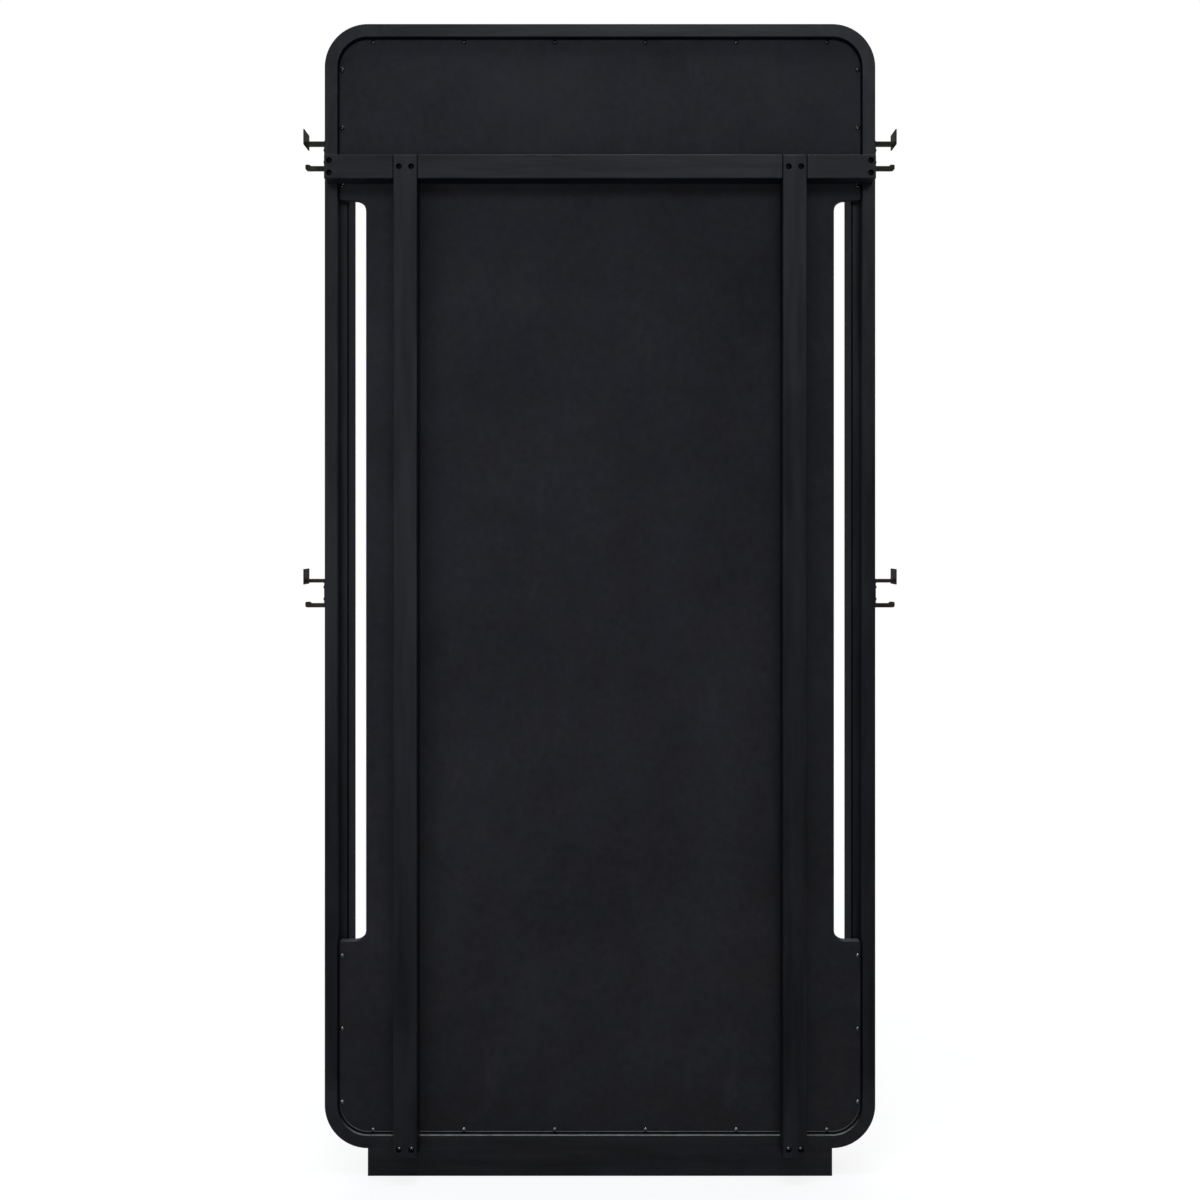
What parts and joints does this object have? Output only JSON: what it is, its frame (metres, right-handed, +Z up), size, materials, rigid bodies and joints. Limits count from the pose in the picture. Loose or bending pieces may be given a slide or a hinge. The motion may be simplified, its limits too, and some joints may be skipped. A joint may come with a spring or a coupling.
{
  "type": "full-length floor mirror",
  "caption": "Tall black floor mirror in a rounded wooden frame with side slots, coat hooks on both stiles, a braced back and a narrow base board.",
  "frame": {"origin": "on the floor, in the middle of the overall width and of the overall depth", "axes": "+Z up, +Y towards the side with the glass, so the back faces -Y; +X to the right as seen from the back"},
  "size_m": [1.032, 0.085, 2],
  "materials": {
    "frame_paint": "satin black paint on wood",
    "batten_paint": "satin black paint on softwood battens",
    "panel_board": "matt black board",
    "mirror": "silvered float glass",
    "foam_tape": "white foam",
    "tenon_wood": "raw beech",
    "black_screw": "black lacquered steel",
    "batten_screw": "black steel",
    "hook_bronze": "dark aged bronze"
  },
  "bodies": {
    "root": {"frame_left_stile": "frame_paint", "frame_right_stile": "frame_paint", "frame_bottom_rail": "frame_paint", "frame_top_rail": "frame_paint", "frame_bottom_left_corner": "frame_paint", "frame_bottom_right_corner": "frame_paint", "frame_top_left_corner": "frame_paint", "frame_top_right_corner": "frame_paint", "base": "frame_paint", "cross_rail": "batten_paint", "left_brace": "batten_paint", "right_brace": "batten_paint", "back_panel": "panel_board", "mirror_glass": "mirror", "mirror_tape": "foam_tape", "frame_tenons": "tenon_wood", "panel_screws": "black_screw", "cross_rail_screws": "batten_screw", "brace_lap_screws": "batten_screw", "brace_foot_screws": "batten_screw", "hook_screws": "hook_bronze", "upper_left_hook": "hook_bronze", "upper_right_hook": "hook_bronze", "lower_left_hook": "hook_bronze", "lower_right_hook": "hook_bronze"}
  },
  "joints": []
}
